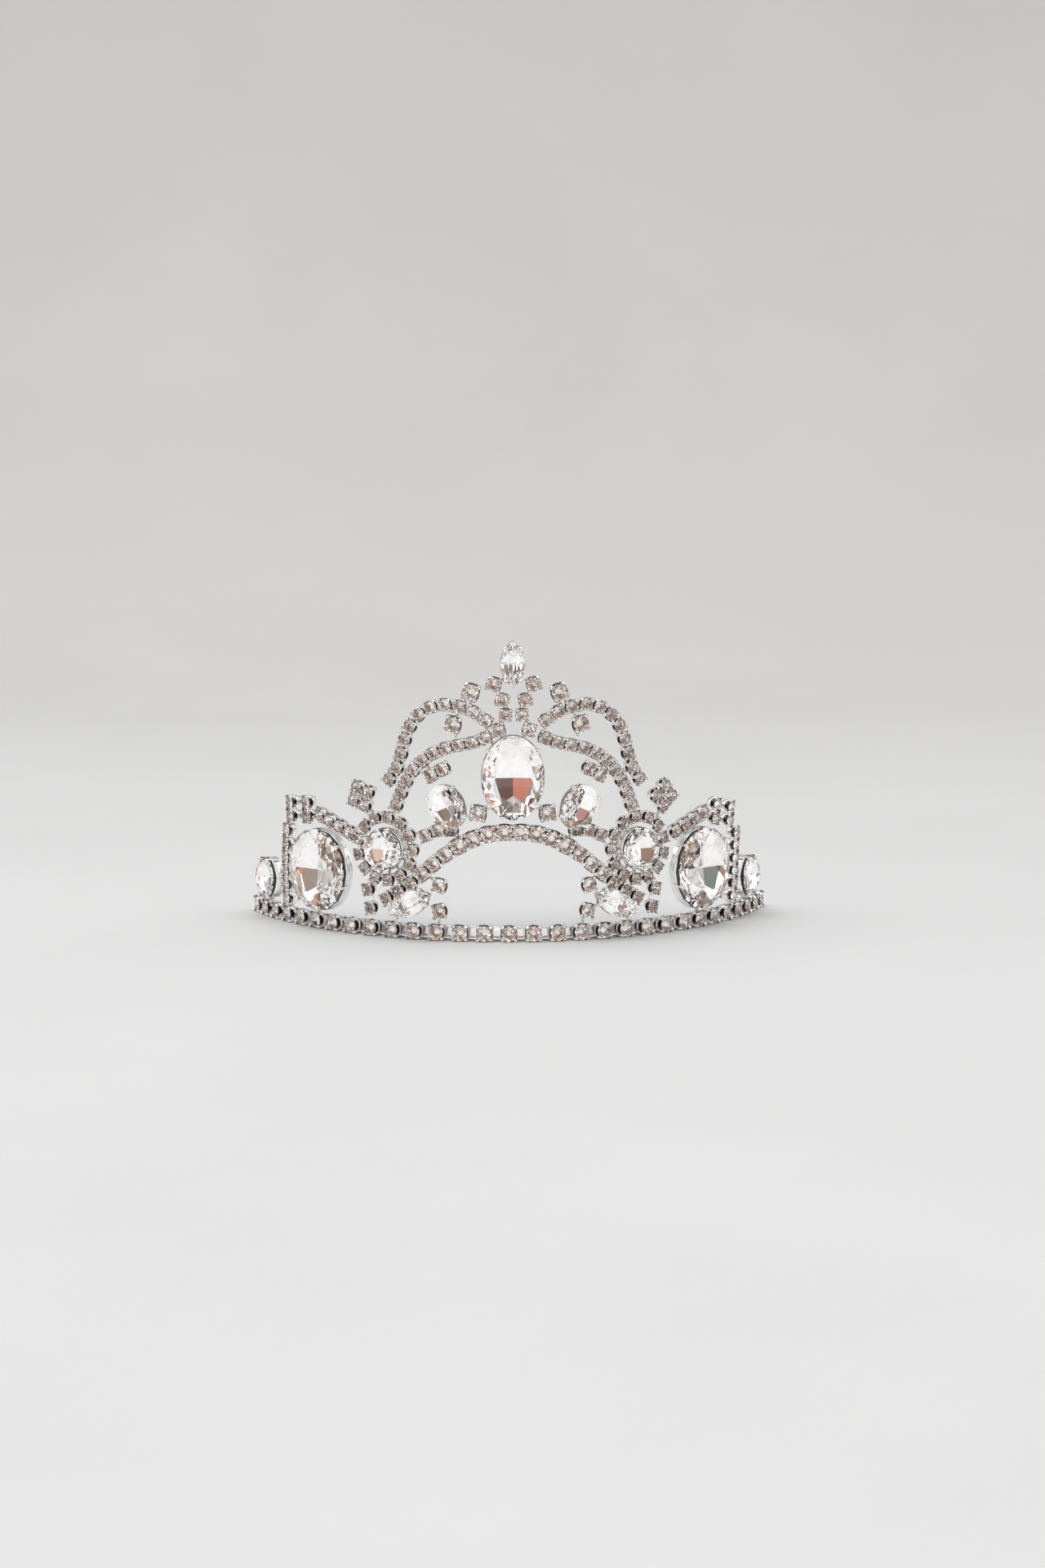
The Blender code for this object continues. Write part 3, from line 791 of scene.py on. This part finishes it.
def strapped(tree, cups, i, j):
    """Whether the CAD solid has a strap between two cups of a strand."""
    start, end = link_point(cups[i][0]), link_point(cups[j][0])
    if (end - start).length > STRAP_REACH:
        return False
    middle = start.lerp(end, 0.5)
    for k, (other, size) in enumerate(cups):
        if k not in (i, j) and (link_point(other) - middle).length < 0.62 * size:
            return False
    spot, normal, _, gap = tree.find_nearest(middle)
    return (middle - spot).dot(normal) < 0.0 and gap < 0.6


noise.seed_set(11)  # the same small tilts every time


def jitter(node, index, amount):
    """A repeatable small turn, as hand-set cups have."""
    seed = Vector((len(node) * 0.37, index * 1.713, sum(map(ord, node)) * 0.011))
    value = noise.noise_vector(seed)
    return (
        Matrix.Rotation(value.x * amount, 4, "X")
        @ Matrix.Rotation(value.y * amount, 4, "Y")
        @ Matrix.Rotation(value.z * amount * 0.6, 4, "Z")
    )


def petal_bead(node, cup):
    """Centre of a petal's ball: by the corner furthest out below the cup's centre."""
    inverse = cup.inverted()
    corners = [inverse @ corner for corner in region_corners(node)]
    tip = max(corners, key=lambda c: c.to_2d().length if c.y < 0 else 0)
    across = tip.to_2d()
    across = across * 1.1 - across.normalized() * BEAD_RADIUS
    return cup @ Vector((*across, tip.z))


def spread(node):
    """How far the prongs and lip of a cup stand out past the strand's usual size."""
    if "petal" in node:
        return 1.08
    if node.startswith(("fleuron", "drop_pair", "spacer", "upper_end", "lower_end")):
        return 1.05
    return 1.02 if node == "lower_arch" else 1.0


def add_straps(metal, node, cups):
    shape = node_solid(node)
    tree = BVHTree.FromBMesh(shape)
    shape.free()
    for i, j in combinations(range(len(cups)), 2):
        if node == "base_chain":
            apart = (cups[i][0].translation - cups[j][0].translation).length
            if apart < CHAIN_REACH:
                for height in (RAIL, -RAIL):
                    strap(metal, cups[i], cups[j], height, wide=0.5, thick=0.5)
        elif strapped(tree, cups, i, j):
            strap(metal, cups[i], cups[j])


def build_strand(node, cups):
    """One strand's cups, straps and small stones."""
    metal, stones = bmesh.new(), bmesh.new()
    for k, (where, size) in enumerate(cups):
        look = round(spread(node) * size, 2)
        stamp(metal, cup_template(look), where @ jitter(node, k, 0.035))
        turn = Matrix.Rotation(k * GOLDEN_ANGLE, 4, "Z")
        tilt = jitter(node, k + 50, 0.09)
        stamp(stones, small_stone_template(look), where @ tilt @ turn)
    add_straps(metal, node, cups)
    if "petal" in node:
        ball = Matrix.Translation(petal_bead(node, cups[0][0]))
        bmesh.ops.create_icosphere(metal, subdivisions=3, radius=BEAD_RADIUS, matrix=ball)
    piece_from(metal, node + "_cups", [cup_metal], 40, (node,))
    piece_from(stones, node + "_stones", [small_glass, small_foil])


def is_strand(node):
    return not (
        node.endswith(("_crystal", "_setting"))
        or node == "base_band"
        or node.startswith("pin_loop")
    )


all_cups = {node: cup_frames(node) for node in sorted(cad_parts) if is_strand(node)}
for node, cups in all_cups.items():
    build_strand(node, cups)


# ------------------------------------------------------------------ large stones
def claw_places(node, where):
    """Angles of a setting's claws and its base depth, read from its solid."""
    inverse = where.inverted()
    corners = [inverse @ corner for corner in region_corners(node)]
    low = min(c.z for c in corners)
    angles = sorted(math.atan2(c.y, c.x) % TAU for c in corners if c.z > 0.3)
    apart = 0.3  # radians that part one claw's corners from the next one's
    groups = [[angles[0]]]
    for angle in angles[1:]:
        if angle - groups[-1][-1] > apart:
            groups.append([angle])
        else:
            groups[-1].append(angle)
    # a claw that straddles angle 0
    if len(groups) > 1 and groups[0][0] + TAU - groups[-1][-1] < apart:
        groups[0] += [angle - TAU for angle in groups.pop()]
    return [sum(group) / len(group) for group in groups], low


def setting_wall(solid, outline, gem, low, claws, pointed):
    """Setting wall: flared foot, waisted side, lip scalloped between an oval's claws."""
    steps = 96
    # (growth of the outline, z), from inside the foot up the outside and back in
    profile = [
        (-0.42, low + 0.02),
        (-0.16, low),
        (0.04, low + 0.05),
        (0.06, low + 0.22),
        (-0.06, 0.5 * (low + RING_TOP)),
        (-0.04, RING_TOP - 0.22),
        (0.0, RING_TOP - 0.04),
        (-0.05, RING_TOP + 0.03),
        (-0.13, RING_TOP + 0.02),
        (-0.2, RING_TOP - 0.06),
        (-0.32, 0.5 * (low + RING_TOP)),
    ]

    def dip(angle):
        if pointed:
            return 0.0
        apart = min(angle_apart(angle, claw) for claw in claws)
        return -0.16 * min(1.0, apart / 0.35) ** 2

    rings = []
    for i in range(steps):
        ring = []
        for grow, z in profile:
            x, y = outline(TAU * i / steps, gem.half_wide, gem.half_high, grow)
            high = max(0.0, (z - low) / (RING_TOP - low))
            ring.append((x, y, z + dip(math.atan2(y, x) % TAU) * high))
        rings.append(ring_of(solid, ring))
    looped_skin(solid, rings)


def claw_wire(solid, outline, gem, angle, low, table, girdle):
    """A tapering claw: up the wall, round the girdle, and down on the crown."""

    def rim(param):
        return outline(param, gem.half_wide, gem.half_high)

    def miss(i):
        x, y = rim(TAU * i / 720)
        return angle_apart(math.atan2(y, x), angle)

    param = TAU * min(range(720), key=miss) / 720
    x, y = rim(param)
    ahead = rim(param + 0.01)
    behind = rim(param - 0.01)
    tangent = Vector((ahead[0] - behind[0], ahead[1] - behind[1], 0)).normalized()
    out = Vector((tangent.y, -tangent.x, 0))
    if out.dot(Vector((x, y, 0))) < 0:
        out = -out
    slope = (gem.crown - girdle) / ((1 - table) * (abs(x * out.x) + abs(y * out.y)))
    seat = girdle + 0.18
    # z, distance outside the outline, half width, half thickness
    stations = [
        (low + 0.25, 0.16, 0.28, 0.16),
        (RING_TOP - 0.1, 0.24, 0.31, 0.17),
        (-0.35, 0.36, 0.32, 0.19),
        (0.12, 0.36, 0.34, 0.22),
        (seat + 0.22, 0.22, 0.40, 0.26),
        (seat + 0.30 + 0.1 * slope, -0.08, 0.46, 0.30),
        (seat + 0.24 + 0.3 * slope, -0.34, 0.42, 0.27),
        (seat + 0.14 + 0.5 * slope, -0.56, 0.14, 0.10),
    ]
    steps = 3
    path = [Vector((x, y, z)) + out * beyond for z, beyond, _, _ in stations]
    widths = [station[2:] for station in stations]
    sections = [
        tuple(u + (v - u) * (step / steps) for u, v in zip(section, following))
        for section, following in zip(widths, widths[1:])
        for step in range(steps)
    ]
    smooth_path = spline([path[0], *path, path[-1]], steps)
    sweep(solid, smooth_path, sections + [widths[-1]], out + Vector((0, 0, 0.001)))


def girdle_depth(name, gem):
    """Height of the lacquered girdle behind a large oval or round stone."""
    if name.startswith("side"):
        return 0.85
    return 0.4 if gem.half_wide > 6 else 0.6


def build_large_stone(name):
    """Stone, setting wall and claws; returns (gem, outline, base depth) for the solder."""
    gem = read_gem(name + "_crystal")
    pointed = name.startswith(("top", "lower"))
    solid = bmesh.new()
    if pointed:
        outline, table, girdle = navette_point, 0.46, 0.1
        navette_stone(solid, gem, table, girdle)
    else:
        outline, table, girdle = oval_point, 0.58, 0.15
        gem = gem._replace(crown=gem.crown * 0.72)
        quadrant_stone(solid, gem, table, girdle, band=girdle_depth(name, gem))
    settle(solid, gem.where)
    looks = [glass, foil, girdle_lacquer]
    piece_from(solid, name + "_stone", looks, None, (name + "_crystal",))

    setting = name + "_setting"
    claws, low = claw_places(setting, gem.where)
    solid = bmesh.new()
    setting_wall(solid, outline, gem, low, claws, pointed)
    settle(solid, gem.where)
    piece_from(solid, setting + "_wall", [cup_metal], 50, (setting,))

    solid = bmesh.new()
    for angle in claws:
        claw_wire(solid, outline, gem, angle, low, table, girdle)
    settle(solid, gem.where)
    piece_from(solid, name + "_claws", [claw_metal], 60)
    return gem, outline, low


stone_names = sorted(
    node.removesuffix("_crystal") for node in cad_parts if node.endswith("_crystal")
)
settings = {name: build_large_stone(name) for name in stone_names}


# ------------------------------------------------------------------ band and pin loops
BAND_THICK = 0.7
BAND_FAN_Y = 60.0  # y of a point behind the band, round which its corners are sorted


def band_curve():
    """The band's middle line from -X to +X, and its lowest and highest z."""
    corners = region_corners("base_band")
    low = min(corner.z for corner in corners)
    unique = {}
    for corner in corners:
        if corner.z < low + 0.01:
            key = (round(corner.x, 2), round(corner.y, 2))
            unique[key] = Vector((corner.x, corner.y, 0))
    points = sorted(unique.values(), key=lambda c: math.atan2(c.x, BAND_FAN_Y - c.y))
    line = [0.5 * (one + two) for one, two in zip(points[::2], points[1::2])]
    return line, low, max(corner.z for corner in corners)


def build_band():
    """Flat strip with rounded edges and ends, very slightly wavy."""
    line, low, high = band_curve()
    path = spline([2 * line[0] - line[1], *line, 2 * line[-1] - line[-2]], 5)
    last = len(path) - 1
    outline = [square_point(TAU * (i + 0.5) / 24, 0.5, 9.0) for i in range(24)]
    solid = bmesh.new()
    rings = []
    for k, point in enumerate(path):
        ahead = (path[min(k + 1, last)] - path[max(k - 1, 0)]).normalized()
        out = Vector((ahead.y, -ahead.x, 0))
        squeeze = math.sqrt(min(1.0, (min(k, last - k) + 0.6) / 3.0))
        wave = 0.02 * math.sin(k * 0.9) * math.sin(k * 0.23)
        ring = []
        for up, across in outline:
            z = 0.5 * (low + high) + up * (high - low) * squeeze
            ring.append(point + out * (across * BAND_THICK + wave) + Vector((0, 0, z)))
        rings.append(ring_of(solid, ring))
    capped_skin(solid, rings)
    settle(solid)
    piece_from(
        solid, "base_band_strip", [band_metal], 40, ("base_band",)
    )


def build_pin_loop(node):
    """Level ring of round wire."""
    corners = region_corners(node)
    middle = sum(corners, Vector()) / len(corners)
    wire = 0.5 * (max(c.z for c in corners) - min(c.z for c in corners))
    reach = max((c - middle).to_2d().length for c in corners) - wire
    solid = bmesh.new()
    rings = []
    for i in range(48):
        angle = TAU * i / 48
        out = Vector((math.cos(angle), math.sin(angle), 0))
        points = [
            middle
            + out * (reach + wire * math.cos(TAU * j / 14))
            + Vector((0, 0, wire * math.sin(TAU * j / 14)))
            for j in range(14)
        ]
        rings.append(ring_of(solid, points))
    looped_skin(solid, rings)
    settle(solid)
    piece_from(solid, node + "_wire", [claw_metal], 60, (node,))


build_band()
for side in ("right", "left"):
    build_pin_loop("pin_loop_" + side)


# ------------------------------------------------------------------ solder
CUP_INSET = 0.44  # how far into a cup solder starts, as a share of the cup's size
RIM_LIFT = 0.35  # solder on a large setting sits this far above its base

# which piece each piece is soldered to; a piece that points at itself leads its group
group = {name: name for name in [*all_cups, *settings]}


def leader(name):
    while group[name] != name:
        name = group[name]
    return name


def join(first, second):
    group[leader(first)] = leader(second)


def solder_blob(solid, first, second, fat):
    """An uneven solder bridge between two points at the cups' backs."""
    run = second - first
    middle = 0.5 * (first + second)
    turn = run.to_track_quat("X", "Z").to_matrix().to_4x4()
    half_long = 0.5 * run.length + 0.55
    start = len(solid.verts)
    bmesh.ops.create_icosphere(solid, subdivisions=3, radius=1.0)
    solid.verts.ensure_lookup_table()
    blob = solid.verts[start:]
    for vert in blob:
        x, y, z = vert.co
        bump = 1.0 + 0.16 * noise.noise(vert.co * 1.7 + middle * 0.9)
        vert.co = Vector((x * half_long * bump, y * fat * bump, z * fat * 0.8 * bump))
    bmesh.ops.transform(solid, matrix=Matrix.Translation(middle) @ turn, verts=blob)


def solder_cups(solid):
    """Solder between neighbouring cups of different strands."""
    for one, two in combinations(all_cups, 2):
        for (where, size), (other, other_size) in product(all_cups[one], all_cups[two]):
            start, end = link_point(where), link_point(other)
            if (start - end).length < 0.66 * (size + other_size):
                run = (end - start).normalized()
                start = start + run * CUP_INSET * size
                end = end - run * CUP_INSET * other_size
                solder_blob(solid, start, end, 0.42)
                join(one, two)


def setting_rim(gem, outline, low):
    """Points round a large setting's wall, near its base."""
    rim = []
    for k in range(120):
        x, y = outline(TAU * k / 120, gem.half_wide, gem.half_high, 0.1)
        rim.append(gem.where @ Vector((x, y, low + RIM_LIFT)))
    return rim


def solder_settings(solid, rims):
    """Solder between large settings and the cups beside them."""
    for name, rim in rims.items():
        for node, cups in all_cups.items():
            for cup, size in cups:
                seat = cup @ Vector((0, 0, LINK_Z + 0.35))
                near = min(rim, key=lambda point: (point - seat).length)
                if (near - seat).length < 0.5 * size + 0.75:
                    run = (seat - near).normalized()
                    solder_blob(solid, near, seat - run * 0.42 * size, 0.36)
                    join(name, node)


def free_pairs(seats):
    """Every way to bridge two groups: (gap, names, points, insets)."""
    for one, two in combinations(seats, 2):
        if leader(one) == leader(two):
            continue
        for (start, inset), (end, end_inset) in product(seats[one], seats[two]):
            gap = (end - start).length - inset - end_inset
            yield gap, (one, two), (start, end), (inset, end_inset)


def bridge_free_pieces(solid, rims):
    """A longer bridge wherever a piece would otherwise stand free."""
    # places solder can start: (point, inset)
    seats = {
        name: [(link_point(where), CUP_INSET * size) for where, size in cups]
        for name, cups in all_cups.items()
    }
    seats.update({name: [(spot, 0.0) for spot in rim[::3]] for name, rim in rims.items()})
    while best := min(free_pairs(seats), key=lambda pair: pair[0], default=None):
        _, names, (start, end), (inset, end_inset) = best
        run = (end - start).normalized()
        solder_blob(solid, start + run * inset, end - run * end_inset, 0.38)
        join(*names)


def build_solder():
    solid = bmesh.new()
    rims = {name: setting_rim(*setting) for name, setting in settings.items()}
    solder_cups(solid)
    solder_settings(solid, rims)
    bridge_free_pieces(solid, rims)
    settle(solid)
    piece_from(solid, "solder_joints", [solder_metal], 60)


build_solder()


# ------------------------------------------------------------------ stage (metres)
FLOOR_DROP = 0.00002  # keeps the floor just under the tiara
COVE_START, COVE_RADIUS = 0.45, 0.5
WALL_TOP = 2.4


def build_floor():
    """Paper sweep: flat floor, quarter-round cove behind the tiara, upright wall."""
    profile = [(-2.2, 0.0), (-1.0, 0.0), (0.0, 0.0), (COVE_START, 0.0)]
    for k in range(1, 13):
        angle = math.pi / 2 * k / 12
        y = COVE_START + COVE_RADIUS * math.sin(angle)
        profile.append((y, COVE_RADIUS - COVE_RADIUS * math.cos(angle)))
    profile.append((COVE_START + COVE_RADIUS, WALL_TOP))
    solid = bmesh.new()
    rows = [
        ring_of(solid, [(x, y, z - FLOOR_DROP) for x in (-2.5, -1.0, 0.0, 1.0, 2.5)])
        for y, z in profile
    ]
    for row, following in zip(rows, rows[1:]):
        for i in range(4):
            solid.faces.new((row[i], row[i + 1], following[i + 1], following[i]))
    mesh = bpy.data.meshes.new("floor")
    solid.to_mesh(mesh)
    solid.free()
    floor = bpy.data.objects.new("floor", mesh)
    scene.collection.objects.link(floor)
    shade_smooth(mesh)
    mesh.materials.append(pale_paper())


build_floor()


# ------------------------------------------------------------------ light (metres)
BACKDROP = (0.52, 0.52, 0.525)  # what the camera itself sees of the room
ROOM_STRENGTH = 1.45

# coloured patches of the room, in degrees:
# azimuth from -Y towards +X, elevation, half width, half height, colour
PATCHES = [
    (43, 19, 7, 8, (0.085, 0.035, 0.024)),
    (-39, 20, 7, 8, (0.42, 0.135, 0.09)),
    (-5, 34, 6, 7, (0.15, 0.10, 0.07)),
    (8, 34, 6, 7, (0.33, 0.15, 0.13)),
    (-21, 28, 7, 7, (0.48, 0.36, 0.26)),
    (24, 28, 7, 7, (0.21, 0.11, 0.075)),
    (-55, 26, 7, 8, (0.21, 0.15, 0.12)),
    (57, 26, 7, 8, (0.10, 0.11, 0.10)),
    (-88, 2, 10, 8, (0.2, 0.16, 0.14)),
    (88, 4, 10, 8, (0.2, 0.16, 0.14)),
    (0, 66, 30, 9, (0.38, 0.35, 0.33)),
]


def room_cells(nodes, ray, azimuth):
    """Bright cloth broken by dark brown furniture and blown-out windows."""
    cells = nodes.add("ShaderNodeTexVoronoi", {"Vector": ray, "Scale": 6.0}, feature="F1")
    kind = nodes.add("ShaderNodeSeparateColor", {"Color": cells.outputs["Color"]})
    # 0 straight ahead, 1 at either side
    sideways = nodes.math("DIVIDE", nodes.math("ABSOLUTE", azimuth), math.radians(90))
    dark = nodes.mix(kind.outputs["Green"], (0.085, 0.064, 0.054), (0.42, 0.34, 0.29))
    window = nodes.math("GREATER_THAN", kind.outputs["Blue"], 0.7)
    light = nodes.mix(window, (0.72, 0.725, 0.735), grey(1.5))
    # share of dark cells: 0.72 ahead, falling off past 0.34 of the way to the side
    past = nodes.math("SUBTRACT", sideways, 0.34, clamp=True)
    share = nodes.math("SUBTRACT", 0.72, nodes.math("MULTIPLY", past, 3.6))
    return nodes.mix(nodes.math("LESS_THAN", kind.outputs["Red"], share), light, dark)


def build_world():
    world = bpy.data.worlds.new("studio")
    scene.world = world
    world.use_nodes = True
    nodes = Nodes(world.node_tree)
    ray = nodes.add("ShaderNodeTexCoord").outputs["Generated"]
    split = nodes.add("ShaderNodeSeparateXYZ", {0: ray}).outputs
    forward = nodes.math("MULTIPLY", split["Y"], -1.0)
    azimuth = nodes.math("ARCTAN2", split["X"], forward)
    elevation = nodes.math("ARCSINE", split["Z"])

    def off_centre(angle, middle, half):
        """Distance from a patch's middle, 1 at its edge."""
        apart = nodes.math("SUBTRACT", angle, math.radians(middle))
        return nodes.math("DIVIDE", nodes.math("ABSOLUTE", apart), math.radians(half))

    colour = room_cells(nodes, ray, azimuth)
    for across, up, half_wide, half_high, tone in PATCHES:
        edge = nodes.math(
            "MAXIMUM",
            off_centre(azimuth, across, half_wide),
            off_centre(elevation, up, half_high),
        )
        # a patch fades out just past its edge
        margin = nodes.math("SUBTRACT", 1.06, edge)
        inside = nodes.math("MULTIPLY", margin, 12.0, clamp=True)
        colour = nodes.mix(inside, colour, tone)
    seen = nodes.add("ShaderNodeLightPath").outputs["Is Camera Ray"]
    colour = nodes.mix(seen, colour, BACKDROP)
    back = nodes.add("ShaderNodeBackground", {"Color": colour, "Strength": ROOM_STRENGTH})
    nodes.surface(back.outputs[0], "ShaderNodeOutputWorld")


def area_light(name, where, turn, wide, tall, power):
    light = bpy.data.lights.new(name, "AREA")
    light.shape = "RECTANGLE"
    light.size, light.size_y = wide, tall
    light.energy = power
    made = bpy.data.objects.new(name, light)
    made.location = where
    made.rotation_euler = turn
    scene.collection.objects.link(made)
    return made


def softbox(name, where, wide, tall, power):
    """Area light aimed at the tiara's middle, unseen in reflections and through glass."""
    lowest, highest = (Vector(corner) for corner in CAD_BOX)
    aim = 0.5 * (lowest + highest) - Vector(where)
    turn = aim.to_track_quat("-Z", "Y").to_euler()
    made = area_light(name, where, turn, wide, tall, power)
    made.visible_glossy = False
    made.visible_transmission = False


build_world()
softbox("key", where=(-0.35, -0.25, 0.75), wide=0.5, tall=0.5, power=1.8)
softbox("fill", where=(0.6, -0.5, 0.45), wide=0.4, tall=0.5, power=0.8)
softbox("top", where=(0.0, 0.15, 0.95), wide=0.7, tall=0.5, power=1.5)

# glowing card lying face up before the tiara, hidden from the camera
card = area_light(
    "card",
    where=(0.0, -0.225, 0.0002),
    turn=(math.pi, 0.0, 0.0),
    wide=1.0,
    tall=0.55,
    power=0.34,
)
card.visible_camera = False


# ------------------------------------------------------------------ camera and render
def build_camera():
    lens = bpy.data.cameras.new("camera")
    lens.lens = 70.0
    lens.sensor_width = 36.0
    camera = bpy.data.objects.new("camera", lens)
    camera.location = (-0.01726, -0.62111, 0.1081)
    camera.rotation_euler = (math.radians(83.06), 0.0, math.radians(-1.78))
    scene.collection.objects.link(camera)
    scene.camera = camera


build_camera()
scene.view_settings.view_transform = "Standard"
# enough bounces for light to leave the foiled stones
scene.cycles.max_bounces = 16
scene.cycles.glossy_bounces = 10
scene.cycles.transmission_bounces = 12

bpy.context.view_layer.update()
